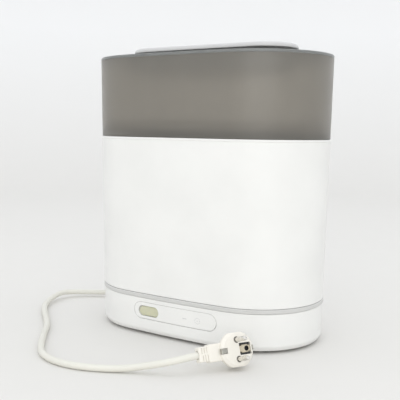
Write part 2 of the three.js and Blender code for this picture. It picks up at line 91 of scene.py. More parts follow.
# ---------------------------------------------------------------- camera
def make_camera():
    """The photograph's viewing angle, by where the camera stands and how it is turned."""
    azimuth = math.radians(32.73)
    distance = 0.8522
    height = 0.2393
    aim_offset = math.radians(0.86)
    yaw = azimuth + aim_offset
    pitch = math.radians(5.78)
    roll = math.radians(0.79)
    view = Vector((-math.sin(yaw) * math.cos(pitch), math.cos(yaw) * math.cos(pitch), -math.sin(pitch)))
    level = Vector((math.cos(yaw), math.sin(yaw), 0))
    upright = level.cross(view)
    right = level * math.cos(roll) + upright * math.sin(roll)
    up = upright * math.cos(roll) - level * math.sin(roll)
    camera = bpy.data.objects.new("camera", bpy.data.cameras.new("camera"))
    camera.data.lens = 64.64
    camera.data.sensor_width = 36
    camera.data.clip_start = 0.01
    turn = Matrix((right, up, -view)).transposed().to_4x4()
    place = Matrix.Translation((distance * math.sin(azimuth), -distance * math.cos(azimuth), height))
    camera.matrix_world = place @ turn
    bpy.context.scene.collection.objects.link(camera)
    bpy.context.scene.camera = camera


make_camera()


# ---------------------------------------------------------------- material kit
class Shader:
    """One Principled material and the few nodes that vary it."""

    def __init__(self, name):
        self.material = bpy.data.materials.new(name)
        self.material.use_nodes = True
        self.nodes = self.material.node_tree.nodes
        self.links = self.material.node_tree.links
        self.bsdf = self.nodes["Principled BSDF"]
        self.place = self.nodes.new("ShaderNodeTexCoord").outputs["Object"]

    def set(self, **values):
        for socket, value in values.items():
            self.bsdf.inputs[socket.replace("_", " ")].default_value = value

    def noise(self, scale, detail=3.0, roughness=0.5, stretch=None):
        node = self.nodes.new("ShaderNodeTexNoise")
        node.inputs["Scale"].default_value = scale
        node.inputs["Detail"].default_value = detail
        node.inputs["Roughness"].default_value = roughness
        source = self.place
        if stretch:
            mapping = self.nodes.new("ShaderNodeMapping")
            mapping.inputs["Scale"].default_value = stretch
            self.links.new(source, mapping.inputs["Vector"])
            source = mapping.outputs["Vector"]
        self.links.new(source, node.inputs["Vector"])
        return node.outputs["Fac"]

    def ramp(self, factor, low, high, low_at=0.3, high_at=0.7):
        node = self.nodes.new("ShaderNodeMapRange")
        node.inputs["From Min"].default_value = low_at
        node.inputs["From Max"].default_value = high_at
        node.inputs["To Min"].default_value = low
        node.inputs["To Max"].default_value = high
        self.links.new(factor, node.inputs["Value"])
        return node.outputs["Result"]

    def colours(self, factor, stops):
        node = self.nodes.new("ShaderNodeValToRGB")
        ramp = node.color_ramp
        while len(ramp.elements) < len(stops):
            ramp.elements.new(0.5)
        for element, (at, colour) in zip(ramp.elements, stops):
            element.position = at
            element.color = (*colour, 1)
        self.links.new(factor, node.inputs["Fac"])
        self.links.new(node.outputs["Color"], self.bsdf.inputs["Base Color"])

    def rough(self, factor, low, high):
        self.links.new(self.ramp(factor, low, high), self.bsdf.inputs["Roughness"])

    def bump(self, factor, depth, strength):
        node = self.nodes.new("ShaderNodeBump")
        node.inputs["Distance"].default_value = depth
        node.inputs["Strength"].default_value = strength
        self.links.new(factor, node.inputs["Height"])
        previous = self.bsdf.inputs["Normal"]
        if previous.is_linked:
            self.links.new(previous.links[0].from_socket, node.inputs["Normal"])
        self.links.new(node.outputs["Normal"], previous)


def tint(colour, amount):
    return tuple(min(1.0, channel * amount) for channel in colour)


def moulded(name, colour, roughness, grain=900, grain_depth=0.00003, mottle=0.02, **values):
    """Moulded plastic: a fine mould grain, faint flow mottling and slightly uneven gloss."""
    shader = Shader(name)
    shader.set(**values)
    shader.colours(shader.noise(16, 4), [(0.35, tint(colour, 1 - mottle)), (0.65, tint(colour, 1 + mottle))])
    shader.rough(shader.noise(45, 5), roughness - 0.05, roughness + 0.05)
    shader.bump(shader.noise(grain, 2), grain_depth, 0.35)
    shader.bump(shader.noise(22, 2), 0.0004, 0.06)
    return shader.material


def smoky_plastic(name, colour):
    """Translucent grey-brown plastic with a satin skin and faint upright flow lines."""
    shader = Shader(name)
    shader.set(Transmission_Weight=0.8, IOR=1.45, Specular_IOR_Level=0.25)
    flow = shader.noise(9, 4, 0.6, stretch=(1.0, 1.0, 0.25))
    shader.colours(flow, [(0.3, tint(colour, 0.95)), (0.7, tint(colour, 1.05))])
    shader.rough(shader.noise(50, 4), 0.29, 0.36)
    shader.bump(shader.noise(700, 2), 0.00003, 0.4)
    return shader.material


def lens_plastic():
    """Pale yellow-green translucent button."""
    shader = Shader("button_lens")
    shader.set(Subsurface_Weight=0.5, Subsurface_Radius=(0.004, 0.004, 0.002), Subsurface_Scale=0.6)
    shader.colours(shader.noise(120, 3), [(0.3, (0.57, 0.57, 0.42)), (0.7, (0.62, 0.615, 0.455))])
    shader.rough(shader.noise(90, 4), 0.28, 0.4)
    shader.bump(shader.noise(1200, 2), 0.00002, 0.3)
    return shader.material


def brushed(name, colour, roughness, scratches=(1, 1, 1)):
    """Metal with fine drawn lines along one direction and uneven gloss."""
    shader = Shader(name)
    shader.set(Metallic=1.0)
    lines = shader.noise(260, 5, 0.6, stretch=scratches)
    shader.colours(lines, [(0.3, tint(colour, 0.9)), (0.7, tint(colour, 1.06))])
    shader.rough(lines, roughness - 0.07, roughness + 0.1)
    shader.bump(lines, 0.00002, 0.5)
    return shader.material


def circuit_lacquer():
    """Green lacquer with paler tracks under it."""
    shader = Shader("circuit_board")
    node = shader.nodes.new("ShaderNodeTexVoronoi")
    node.feature = "DISTANCE_TO_EDGE"
    node.inputs["Scale"].default_value = 260
    shader.links.new(shader.place, node.inputs["Vector"])
    shader.colours(node.outputs["Distance"], [(0.08, (0.12, 0.34, 0.16)), (0.12, (0.03, 0.16, 0.07))])
    shader.rough(shader.noise(300), 0.3, 0.45)
    shader.bump(node.outputs["Distance"], 0.00005, 0.4)
    return shader.material


def floor_material():
    """Pale, very slightly mottled studio paper, painted whiter where it hangs than where it lies: painted
    light for the brighter backdrop.
    """
    shader = Shader("studio_paper")
    height = shader.nodes.new("ShaderNodeSeparateXYZ")
    shader.links.new(shader.place, height.inputs["Vector"])
    mottle = shader.nodes.new("ShaderNodeMath")
    mottle.operation = "MULTIPLY_ADD"
    mottle.inputs[1].default_value = 0.06
    shader.links.new(shader.noise(3, 4), mottle.inputs[0])
    # painted light: the colour rises with height, so the hanging paper is whiter than the floor
    shader.links.new(shader.ramp(height.outputs["Z"], 0.0, 0.9, 0.0, 0.7), mottle.inputs[2])
    shader.colours(mottle.outputs["Value"], [(0.02, (0.755, 0.742, 0.715)), (0.9, (0.90, 0.90, 0.90))])
    shader.rough(shader.noise(30), 0.75, 0.9)
    shader.bump(shader.noise(900, 2), 0.00004, 0.3)
    return shader.material


WHITE = moulded("white_plastic", (0.82, 0.82, 0.802), 0.36, Specular_IOR_Level=0.3)
RING = moulded("ring_plastic", (0.605, 0.605, 0.59), 0.4)
HANDLE = moulded("handle_plastic", (0.61, 0.61, 0.605), 0.42, grain=600, grain_depth=0.00001)
PLUG_WHITE = moulded("plug_plastic", (0.83, 0.80, 0.73), 0.45, grain=1500, mottle=0.03)
SOCKET_CREAM = moulded("socket_plastic", (0.56, 0.50, 0.38), 0.5, grain=1500, mottle=0.04)
SHEATH = moulded("cord_sheath", (0.745, 0.735, 0.67), 0.46, grain=1800, mottle=0.02)
MARK_GREY = moulded("panel_print", (0.64, 0.645, 0.64), 0.5)
SMOKY = smoky_plastic("smoky_plastic", (0.53, 0.503, 0.455))
SMOKY_LID = smoky_plastic("smoky_lid_plastic", (0.60, 0.612, 0.605))
# painted light: a much paler copy of the smoky plastic for the items tray, so the bottom of the smoky tier
# seen through the basket wall looks less shaded
SMOKY_TRAY_PAINTED_LIGHT = smoky_plastic("smoky_tray_painted_light", (0.80, 0.79, 0.76))
LENS = lens_plastic()
FOOT = moulded("foot_rubber", (0.06, 0.06, 0.06), 0.75, grain=700, grain_depth=0.00006, mottle=0.15)
SEAL = moulded("seal_rubber", (0.48, 0.47, 0.44), 0.6, mottle=0.06)
STEEL = brushed("steel", (0.62, 0.63, 0.64), 0.32, scratches=(1, 1, 12))
PIN = brushed("pin_metal", (0.78, 0.76, 0.72), 0.26, scratches=(3, 3, 1))
CLIP = brushed("clip_metal", (0.52, 0.51, 0.47), 0.42)
HEATER = brushed("heater_plate", (0.42, 0.43, 0.44), 0.38, scratches=(1, 6, 1))
BRASS = brushed("brass", (0.72, 0.55, 0.27), 0.3)
BOARD = circuit_lacquer()
# dark plastic for the switch and relay, also used for painted shade in the plug
DARK_AND_PAINTED_SHADE = moulded("dark_plastic", (0.03, 0.03, 0.032), 0.45, mottle=0.2)
LIVE = moulded("live_insulation", (0.20, 0.09, 0.04), 0.4, mottle=0.08)
NEUTRAL = moulded("neutral_insulation", (0.05, 0.13, 0.42), 0.4, mottle=0.08)
EARTH = moulded("earth_insulation", (0.28, 0.42, 0.07), 0.4, mottle=0.15)


# ---------------------------------------------------------------- mesh kit
def link(name, mesh, material):
    piece = bpy.data.objects.new(name, mesh)
    bpy.context.scene.collection.objects.link(piece)
    mesh.materials.append(material)
    return piece


def settle(piece):
    """Applies a piece's modifiers to its mesh."""
    graph = bpy.context.evaluated_depsgraph_get()
    mesh = bpy.data.meshes.new_from_object(piece.evaluated_get(graph))
    piece.modifiers.clear()
    piece.data = mesh
    return piece


def soften(piece, degrees=32):
    """Smooth shading that keeps corners, with flat faces left flat."""
    piece.data.shade_smooth()
    piece.data.set_sharp_from_angle(angle=math.radians(degrees))
    weighted = piece.modifiers.new("weighted", "WEIGHTED_NORMAL")
    weighted.keep_sharp = True
    return settle(piece)


def merge_close(mesh):
    """Merges the points that meet along a seam, which closes a run that ends in a line or a point."""
    build = bmesh.new()
    build.from_mesh(mesh)
    bmesh.ops.remove_doubles(build, verts=build.verts, dist=0.000002)
    build.to_mesh(mesh)
    build.free()


def ring_mesh(name, rings, material, closed=False, capped=True):
    """Rings of one count joined in order: over the top outwards, down the outside, back underneath."""
    count = len(rings[0])
    vertices = [point for ring in rings for point in ring]
    spans = len(rings) if closed else len(rings) - 1
    faces = []
    for k in range(spans):
        inner = k * count
        outer = (k + 1) % len(rings) * count
        for i in range(count):
            j = (i + 1) % count
            faces.append((inner + i, outer + i, outer + j, inner + j))
    if not closed and capped:
        last = (len(rings) - 1) * count
        faces.append(tuple(range(count)))
        faces.append(tuple(reversed(range(last, last + count))))
    mesh = bpy.data.meshes.new(name)
    mesh.from_pydata(vertices, [], faces)
    if not capped:
        merge_close(mesh)
    mesh.update()
    return link(name, mesh, material)


def rounded(profile, closed=False, steps=4):
    """A profile of (across, up) or (across, up, radius) corners, where each radius becomes a smooth bend."""
    count = len(profile)
    points = []
    for i, corner in enumerate(profile):
        here = Vector(corner[:2])
        if len(corner) == 2 or (not closed and i in (0, count - 1)):
            points.append(tuple(here))
            continue
        back = Vector(profile[i - 1][:2]) - here
        ahead = Vector(profile[(i + 1) % count][:2]) - here
        half_angle = back.angle(ahead) / 2
        reach = min(corner[2] / math.tan(half_angle), back.length * 0.49, ahead.length * 0.49)
        start = here + back.normalized() * reach
        end = here + ahead.normalized() * reach
        for k in range(steps + 1):
            t = k / steps
            points.append(tuple(start * (1 - t) ** 2 + here * 2 * t * (1 - t) + end * t ** 2))
    return points


# Points along each end and each long side of an oval.
END_STEPS = 56
SIDE_STEPS = 28


def side_arc(half_length, half_width):
    """Radius and centre distance of the long sides' arcs, and the end arcs' centre and radius."""
    end_radius = END_ROUNDNESS * half_width
    end_centre = half_length - end_radius
    side_radius = (end_centre ** 2 + half_width ** 2 - end_radius ** 2) / (2 * (half_width - end_radius))
    return side_radius, side_radius - half_width, end_centre, end_radius


def oval_ring(half_length, half_width, inset, z):
    """Points round the oval at one height, set in evenly by inset."""
    side_radius, side_centre, end_centre, end_radius = side_arc(half_length, half_width)
    turn = math.atan2(side_centre, end_centre)
    ring = []

    def arc(cx, cy, radius, first, last, steps):
        for i in range(steps):
            a = first + (last - first) * i / steps
            ring.append((cx + (radius - inset) * math.cos(a), cy + (radius - inset) * math.sin(a), z))

    arc(end_centre, 0, end_radius, -turn, turn, END_STEPS)
    arc(0, -side_centre, side_radius, turn, math.pi - turn, SIDE_STEPS)
    arc(-end_centre, 0, end_radius, math.pi - turn, math.pi + turn, END_STEPS)
    arc(0, side_centre, side_radius, math.pi + turn, 2 * math.pi - turn, SIDE_STEPS)
    return ring


def body_half_sizes(z):
    """Half length and half width of the body at one height."""
    taper = DRAFT * (LID_TOP - z)
    return HALF_LENGTH - taper, HALF_WIDTH - taper


def body_sweep(name, profile, material, closed=False, steps=4):
    """A profile of (inset, z) or (inset, z, radius) in millimetres, carried round the tapering body."""
    rings = []
    for inset, z in rounded(profile, closed, steps):
        rings.append(oval_ring(*body_half_sizes(z * MM), inset * MM, z * MM))
    return ring_mesh(name, rings, material, closed)


def oval_sweep(name, half_length, half_width, profile, material):
    """A profile like body_sweep's, carried round an oval that doesn't taper."""
    rings = [oval_ring(half_length, half_width, inset * MM, z * MM) for inset, z in rounded(profile)]
    return ring_mesh(name, rings, material)


def turned(name, profile, material, sides=48, place=Matrix.Identity(4), closed=False):
    """A round piece about its own +Z: (radius, z) in millimetres, over the top outwards and down."""
    turns = [2 * math.pi * i / sides for i in range(sides)]
    rings = []
    for radius, z in rounded(profile, closed):
        rings.append([(radius * MM * math.cos(a), radius * MM * math.sin(a), z * MM) for a in turns])
    piece = ring_mesh(name, rings, material, closed)
    piece.data.transform(place)
    return piece


ALONG_Y = Matrix.Rotation(math.radians(-90), 4, "X")    # turns +Z to +Y


def at(x, y, z):
    return Matrix.Translation((x, y, z))


def drum(radius, bottom, top, x, y, sides=32):
    """A plain round cutter, in millimetres."""
    profile = [(AXIS, top), (radius, top), (radius, bottom), (AXIS, bottom)]
    return turned("cutter", profile, WHITE, sides, at(x * MM, y * MM, 0))


# Points along each straight side and each round end of a pill.
STRAIGHT_STEPS = 22
BEND_STEPS = 16


def pill_outline(pill, grow):
    """Points round a flat-sided pill in (x, z), counter-clockwise seen from the front."""
    radius = pill["half_height"] + grow
    reach = pill["half_length"] - pill["half_height"]
    points = []
    for i in range(BEND_STEPS):
        a = -math.pi / 2 + math.pi * i / BEND_STEPS
        points.append((pill["x"] + reach + radius * math.cos(a), pill["z"] + radius * math.sin(a)))
    for i in range(STRAIGHT_STEPS):
        points.append((pill["x"] + reach - 2 * reach * i / STRAIGHT_STEPS, pill["z"] + radius))
    for i in range(BEND_STEPS):
        a = math.pi / 2 + math.pi * i / BEND_STEPS
        points.append((pill["x"] - reach + radius * math.cos(a), pill["z"] + radius * math.sin(a)))
    for i in range(STRAIGHT_STEPS):
        points.append((pill["x"] - reach + 2 * reach * i / STRAIGHT_STEPS, pill["z"] - radius))
    return points


def front_wall_y(x, z):
    """Where the housing's front surface is."""
    side_radius, side_centre, _, _ = side_arc(*body_half_sizes(z))
    return side_centre - math.sqrt(side_radius ** 2 - x ** 2)


def wall_pill(name, pill, profile, material, flat_y=None):
    """A pill that follows the front wall, or a flat one: (grow, depth) in millimetres, front to back."""
    middle = -pill["half_height"] / MM
    rings = []
    for grow, depth in [(middle, profile[0][1]), *profile, (middle, profile[-1][1])]:
        ring = []
        for x, z in pill_outline(pill, grow * MM):
            y = front_wall_y(x, z) if flat_y is None else flat_y
            ring.append((x, y + depth * MM, z))
        rings.append(ring)
    return ring_mesh(name, rings, material, capped=False)


def slot_cutter(half_length, half_width, bottom, top, x, y, along_y=False):
    """An upright cutter with round ends, in millimetres."""
    end_steps = 8
    rings = []
    for z in (top, bottom):
        ring = []
        for side in (1, -1):
            for i in range(end_steps + 1):
                a = -math.pi / 2 + math.pi * i / end_steps
                across = side * (half_length - half_width) + side * half_width * math.cos(a)
                along = side * half_width * math.sin(a)
                spot = (-along, across) if along_y else (across, along)
                ring.append(((x + spot[0]) * MM, (y + spot[1]) * MM, z * MM))
        rings.append(ring)
    return ring_mesh("cutter", rings, WHITE)


def block(x_size, y_size, z_size, x, y, z, bevel=0.0):
    """A box cutter or small part, in millimetres, with its edges rounded by bevel."""
    mesh = bpy.data.meshes.new("block")
    build = bmesh.new()
    bmesh.ops.create_cube(build, size=1)
    bmesh.ops.scale(build, vec=(x_size * MM, y_size * MM, z_size * MM), verts=build.verts)
    if bevel:
        bmesh.ops.bevel(build, geom=build.edges[:], offset=bevel * MM, segments=4, profile=0.5,
                        affect="EDGES")
    bmesh.ops.translate(build, vec=(x * MM, y * MM, z * MM), verts=build.verts)
    build.to_mesh(mesh)
    build.free()
    return link("block", mesh, WHITE)


def weld(pieces):
    """Several meshes in one object, as loose solids."""
    build = bmesh.new()
    for piece in pieces:
        build.from_mesh(piece.data)
    first = pieces[0]
    build.to_mesh(first.data)
    build.free()
    for piece in pieces[1:]:
        bpy.data.objects.remove(piece)
    return first


def carve(piece, tools, operation="DIFFERENCE"):
    """Cuts the tools out of the piece, or joins them to it. Tools in one list don't touch one another."""
    tool = weld(tools)
    step = piece.modifiers.new("carve", "BOOLEAN")
    step.operation = operation
    step.solver = "EXACT"
    step.object = tool
    settle(piece)
    bpy.data.objects.remove(tool)


def recolour(piece, material):
    piece.data.materials.clear()
    piece.data.materials.append(material)


def finish(piece, name, body, slot, *nodes):
    """Names a piece and says which body it rides on and the nodes it replaces; slot, its material slot, is
    not used.
    """
    piece.name = name
    piece.data.name = name
    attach(piece, body)
    if nodes:
        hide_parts(*nodes)
    return piece


# ---------------------------------------------------------------- mains cord and plug
CORD_ROUTE = [
    (15, 113, 14.5), (15, 125, 13.4), (11.8, 138.5, 11.2), (3.5, 149, 8.8), (-9.5, 156, 6.6), (-27, 158, 5),
    (-47, 153, 4), (-69, 142.5, 3.8), (-93, 127.5, 3.8), (-117, 109, 3.8), (-140, 89, 4), (-160, 70, 4.8),
    (-179, 53, 5.7), (-198, 38.5, 6.4), (-212, 30, 6.2), (-224.5, 21, 6.4), (-233.5, 10.5, 7.2),
    (-238, -2, 8.2),
    (-237.5, -15.5, 8), (-233.5, -29, 7), (-227.5, -43, 6), (-218.5, -57.5, 4.8), (-206, -71.5, 4),
    (-188, -88, 3.6), (-151, -121, 3.6), (-126, -150, 3.6), (-109.5, -169, 3.6), (-85, -194, 3.6),
    (-72, -203, 3.6), (-57, -209, 3.6), (-41, -211.5, 3.6), (-24, -210.5, 3.6), (-7, -206, 3.6),
    (9, -199, 3.8),
    (24, -191, 4.6), (38, -183.5, 6.8), (51, -177.5, 9.8), (63, -172.5, 13), (72.5, -167, 15.8),
    (82.1, -154.2, 18), (84.9, -148.8, 18.3),
]


def smooth_route(points):
    """The centripetal curve through a list of points in millimetres, in metres."""
    steps = 7
    route = [Vector(p) * MM for p in points]
    route = [route[0] * 2 - route[1]] + route + [route[-1] * 2 - route[-2]]
    curve = []
    for p0, p1, p2, p3 in zip(route, route[1:], route[2:], route[3:]):
        t1 = math.sqrt((p1 - p0).length)
        t2 = t1 + math.sqrt((p2 - p1).length)
        t3 = t2 + math.sqrt((p3 - p2).length)
        for k in range(steps):
            t = t1 + (t2 - t1) * k / steps
            a1 = p0 + (p1 - p0) * (t / t1)
            a2 = p1 + (p2 - p1) * ((t - t1) / (t2 - t1))
            a3 = p2 + (p3 - p2) * ((t - t2) / (t3 - t2))
            b1 = a1 + (a2 - a1) * (t / t2)
            b2 = a2 + (a3 - a2) * ((t - t1) / (t3 - t1))
            curve.append(b1 + (b2 - b1) * ((t - t1) / (t2 - t1)))
    curve.append(route[-2])
    return curve


def make_cord():
    """The cord as a round curve along its route, with that route's points."""
    path = smooth_route(CORD_ROUTE)
    curve = bpy.data.curves.new("mains_cord", "CURVE")
    curve.dimensions = "3D"
    spline = curve.splines.new("POLY")
    spline.points.add(len(path) - 1)
    for point, place in zip(spline.points, path):
        point.co = (*place, 1)
    curve.bevel_depth = CORD_RADIUS
    curve.bevel_resolution = 6
    curve.use_fill_caps = True
    curve.materials.append(SHEATH)
    cord = bpy.data.objects.new("mains_cord", curve)
    bpy.context.scene.collection.objects.link(cord)
    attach(cord, "base")
    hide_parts("power_cord")
    return cord, path


PLUG_TURN = Matrix.Rotation(math.radians(-28.9), 4, "Z")
PLUG_LEAN = Matrix.Rotation(math.radians(69.4), 4, "Y")
PLUG_PLACE = at(111.1 * MM, -118.8 * MM, 21.5 * MM) @ PLUG_TURN @ PLUG_LEAN

# Places in the plug, in millimetres from the middle of its face, before it is turned and placed.
RELIEF_Z = -9
INSERT_Y = 8.3
EARTH_HOLE_Y = 10.6
BACK_CLIP_Y = -14.9


def plug_body():
    """Round moulded body with flat sides that tapers back to a flat neck and a ribbed strain relief."""
    dome = turned("plug_shell", [
        (AXIS, 0), (15.4, 0, 1.0), (18.4, -2.2, 2.0), (18.4, -6, 4), (16.6, -11, 5), (14, -15.6, 3),
        (12, -17.6, 1), (AXIS, -17.6),
    ], PLUG_WHITE, 96)
    neck = block(17.6, 20.5, 10, 0, -20.25, RELIEF_Z, bevel=1.4)
    relief = block(14.8, 11.5, 9.2, 0, -35.25, RELIEF_Z, bevel=1.3)
    carve(dome, [neck], "UNION")
    carve(dome, [relief], "UNION")
    tools = [block(6, 40, 30, side * 19.8, 0, -8) for side in (-1, 1)]
    tools.append(turned("cutter", [(AXIS, -37.5), (4.1, -37.5), (4.1, -50), (AXIS, -50)], WHITE, 32,
                        at(0, 0, RELIEF_Z * MM) @ ALONG_Y))
    carve(dome, tools)
    tools = [block(12, 13, 7, 0, INSERT_Y, -3, bevel=0.9)]
    tools += [block(5.6, 4, 12, 0, 18.6, -5.5), block(5.6, 8, 5, 0, -15.5, -2)]
    tools += [block(4.4, 6.0, 12, side * 17.6, 0, -7.4) for side in (-1, 1)]
    for side in (-1, 1):
        tools.append(turned("cutter", [(AXIS, 2), (3.15, 2), (3.15, -1.4), (AXIS, -1.4)], WHITE, 32,
                            at(side * PIN_SPACING / 2, 0, 0)))
    carve(dome, tools)
    groove_pitch = 2.7
    grooves = []
    for row, offset in ((-1, 0.7), (1, 0.0)):
        for i in range(3):
            y = -31.6 - offset - groove_pitch * i
            grooves += [block(5.6, 0.9, 3, row * 3.6, y, RELIEF_Z + face * 5.2) for face in (-1, 1)]
    carve(dome, grooves)
    dome.data.transform(PLUG_PLACE)
    return finish(soften(dome), "plug_shell", "base", "plug_plastic", "plug_body")


def plug_pin(index, side):
    pin = turned(f"contact_pin_{index}", [
        (AXIS, 19), (1.5, 19, 0.6), (2.4, 17.4, 0.8), (2.4, 10.2), (2.35, 10), (2.35, 0.1), (AXIS, 0.1),
    ], PIN, 40, PLUG_PLACE @ at(side * PIN_SPACING / 2, 0, 0))
    return finish(soften(pin), f"contact_pin_{index}", "base", "pin_metal", f"plug_pin_{index}")


def earth_socket():
    """The cream insert with the earth hole; slots stay open above and below it, where painted shade shows
    dark.
    """
    insert = block(7.6, 12.4, 5, 0, INSERT_Y, -3.7, bevel=0.3)
    hole = turned("cutter", [(AXIS, 2), (3.0, 2), (2.6, -1.8), (2.6, -5.4), (AXIS, -5.4)], WHITE, 40,
                  at(0, EARTH_HOLE_Y * MM, 0))
    carve(insert, [hole])
    corners = [(side * 3.9, y) for side in (-1, 1) for y in (3.4, 13.4)]
    carve(insert, [block(2.2, 3.4, 6, x, y, -2.6, bevel=0.4) for x, y in corners])
    insert.data.transform(PLUG_PLACE)
    recolour(insert, SOCKET_CREAM)
    return finish(soften(insert), "earth_insert", "base", "plug_plastic", "earth_socket")


def plug_painted_shade():
    """Painted shade as dark pieces: bars in the slots beside the earth insert, a cup in its hole and a ring
    round each pin.
    """
    # painted shade: a dark cup at the bottom of the earth hole
    parts = [turned("cup", [(AXIS, -4.9), (2.5, -4.9), (2.5, -2.2), (2.58, -2.2), (2.58, -5.2), (AXIS, -5.2)],
                    DARK_AND_PAINTED_SHADE, 32, at(0, EARTH_HOLE_Y * MM, 0))]
    for side in (-1, 1):
        # painted shade: dark bars in the slots beside the insert and a dark ring round each pin's base
        parts.append(block(2.0, 12, 4.6, side * 4.92, INSERT_Y, -4.0, bevel=0.4))
        parts.append(turned("pin_shade_ring", [(2.42, -0.8), (3.1, -0.8), (3.1, -1.35), (2.42, -1.35)],
                            DARK_AND_PAINTED_SHADE, 40, at(side * PIN_SPACING / 2, 0, 0), closed=True))
    shade_pieces = weld(parts)
    shade_pieces.data.transform(PLUG_PLACE)
    recolour(shade_pieces, DARK_AND_PAINTED_SHADE)
    return finish(soften(shade_pieces), "plug_painted_shade", "base", "dark_plastic")


def earth_clips():
    """The two earth contacts: one at the cord side with grooves across it, one at the far side."""
    side_clip = block(5, 1.1, 10.6, 0, 17.5, -5.6, bevel=0.4)
    carve(side_clip, [block(1.4, 1.0, 7, 0, 18.1, -5.6)])
    back_clip = block(5, 6.2, 3.6, 0, BACK_CLIP_Y, -2, bevel=0.3)
    carve(back_clip, [block(6, 0.5, 1.0, 0, BACK_CLIP_Y + dy, -0.2) for dy in (-1.9, -0.6, 0.7, 1.9)])
    clips = []
    for index, clip in enumerate((side_clip, back_clip), 1):
        clip.data.transform(PLUG_PLACE)
        recolour(clip, CLIP)
        name = f"earth_contact_{index}"
        clips.append(finish(soften(clip), name, "base", "pin_metal", f"earth_clip_{index}"))
    return clips


def cord_gland():
    """Tapered, ringed strain relief in the back of the housing: (radius, y) in millimetres."""
    ridges = 7
    ridge_pitch = 3.6
    profile = [(3.8, 112.7), (4.7, 112.7, 0.4)]
    for i in range(ridges):
        y = 109.6 - ridge_pitch * i
        radius = 4.9 + 0.26 * i
        profile += [(radius, y, 0.3), (radius - 0.9, y - 0.5, 0.2), (radius - 0.85, y - 1.5, 0.2),
                    (radius + 0.12, y - 2.0, 0.3)]
    profile += [(6.7, 84, 0.5), (8.2, 81.4, 0.8), (8.2, 78.9, 0.3), (6, 78.9), (6, 73.7), (7.4, 73.7, 0.3),
                (7.4, 71.6, 0.3), (3.8, 71.6)]
    gland = turned("strain_relief", profile, PLUG_WHITE, 48, at(CORD_X, 0, CORD_Z) @ ALONG_Y, closed=True)
    return finish(soften(gland), "strain_relief", "base", "plug_plastic", "cord_gland")


def make_cord_set():
    cord, path = make_cord()
    pieces = [plug_body(), plug_pin(1, -1), plug_pin(2, 1), earth_socket(), plug_painted_shade()]
    pieces += [*earth_clips(), cord_gland()]


make_cord_set()


# ---------------------------------------------------------------- base
COVER_SCREWS = [(88, 40), (-88, 40), (-88, -40), (88, -40)]
FEET = [(100, -44), (100, 44), (-100, 44), (-100, -44)]
CLAMP_CIRCLE = 52.8
CLAMP_TURNS = [math.radians(degrees) for degrees in (90, 210, 330)]
CLAMP_SCREWS = [(CLAMP_CIRCLE * math.cos(a), CLAMP_CIRCLE * math.sin(a)) for a in CLAMP_TURNS]


def base_housing():
    shell = body_sweep("housing", [
        (16, 34), (11.2, 35, 2), (7, 47.2, 0.6), (2.9, 47.2, 0.4), (2.9, 43.7), (0, 43.7, 0.5), (0, 12),
        (0, 8.2, 4), (3.0, 3.0, 3), (6.4, 3, 0.3), (2.8, 10, 1), (2.8, 40.9, 0.5), (5.8, 40.9), (8.6, 35, 1),
        (14, 31.5),
    ], WHITE, steps=6)
    bosses = [drum(4, 5.6, 32.4, x, y) for x, y in COVER_SCREWS]
    bosses += [drum(3.4, 28.4, 32.4, x, y) for x, y in CLAMP_SCREWS]
    carve(shell, bosses, "UNION")
    holes = [drum(1.8, 5, 20, x, y, 20) for x, y in COVER_SCREWS]
    holes += [drum(1.8, 28, 32.2, x, y, 20) for x, y in CLAMP_SCREWS]
    holes.append(drum(44, 30, 36, 0, 0, 96))
    holes.append(turned("cutter", [(AXIS, 90), (6.3, 90), (6.3, 66), (AXIS, 66)], WHITE, 48,
                        at(CORD_X, 0, CORD_Z) @ ALONG_Y))
    carve(shell, holes)
    carve(shell, [wall_pill("cutter", PANEL_RECESS, [
        (-5, -2), (1.1, -2), (1.1, -0.3), (0.75, 0), (0.42, 0.14), (0.3, 0.45), (0.3, 1.9), (-5, 1.9),
    ], WHITE)])
    carve(shell, [wall_pill("cutter", BUTTON, [
        (-3, -1), (0.4, -1), (0.4, 7), (-3, 7),
    ], WHITE)])
    return finish(soften(shell), "housing", "base", "white_plastic", "base_housing")


def control_panel():
    plate = wall_pill("panel", PANEL, [
        (-5, 0.12), (-2.5, 0.12), (-0.45, 0.12), (-0.13, 0.22), (0, 0.5), (0, 1.55), (-5, 1.55),
    ], WHITE)
    carve(plate, [wall_pill("cutter", BUTTON_OPENING, [
        (-3, -2), (1.4, -2), (1.4, -0.3), (1.0, 0.12), (0.6, 0.3), (0.4, 0.75), (0.4, 4), (-3, 4),
    ], WHITE)])
    return finish(soften(plate), "panel", "base", "white_plastic", "control_panel")


def panel_marks():
    """A short bar, and a ring of dots round a middle dot, printed on the panel."""
    dial_x = 35
    dial_z = 28.4
    dial_radius = 3.2
    dots = 10
    spots = [(18.2, 28.6, 2.8, 0.45), (dial_x, dial_z, 0.6, 0.5)]
    for i in range(dots):
        turn = 2 * math.pi * i / dots
        x = dial_x + dial_radius * math.cos(turn)
        z = dial_z + dial_radius * math.sin(turn)
        spots.append((x, z, 0.55, 0.45))
    marks = []
    for x, z, half_length, half_height in spots:
        pill = {"x": x * MM, "z": z * MM, "half_length": half_length * MM, "half_height": half_height * MM}
        marks.append(wall_pill("mark", pill, [(-0.1, 0.06), (0, 0.06), (0, 0.3), (-0.1, 0.3)], MARK_GREY))
    return finish(soften(weld(marks)), "panel_marks", "base", "white_plastic")


def trim_ring():
    ring = body_sweep("grey_ring", [
        (5.5, 48.7, 0.2), (-0.1, 48.7, 0.5), (-0.67, 48.1, 0.4), (-0.67, 44.6, 0.4), (-0.2, 44.0, 0.4),
        (2.6, 44.0), (2.6, 47.5), (5.5, 47.5),
    ], RING, closed=True)
    return finish(soften(ring), "grey_ring", "base", "ring_plastic", "trim_ring")


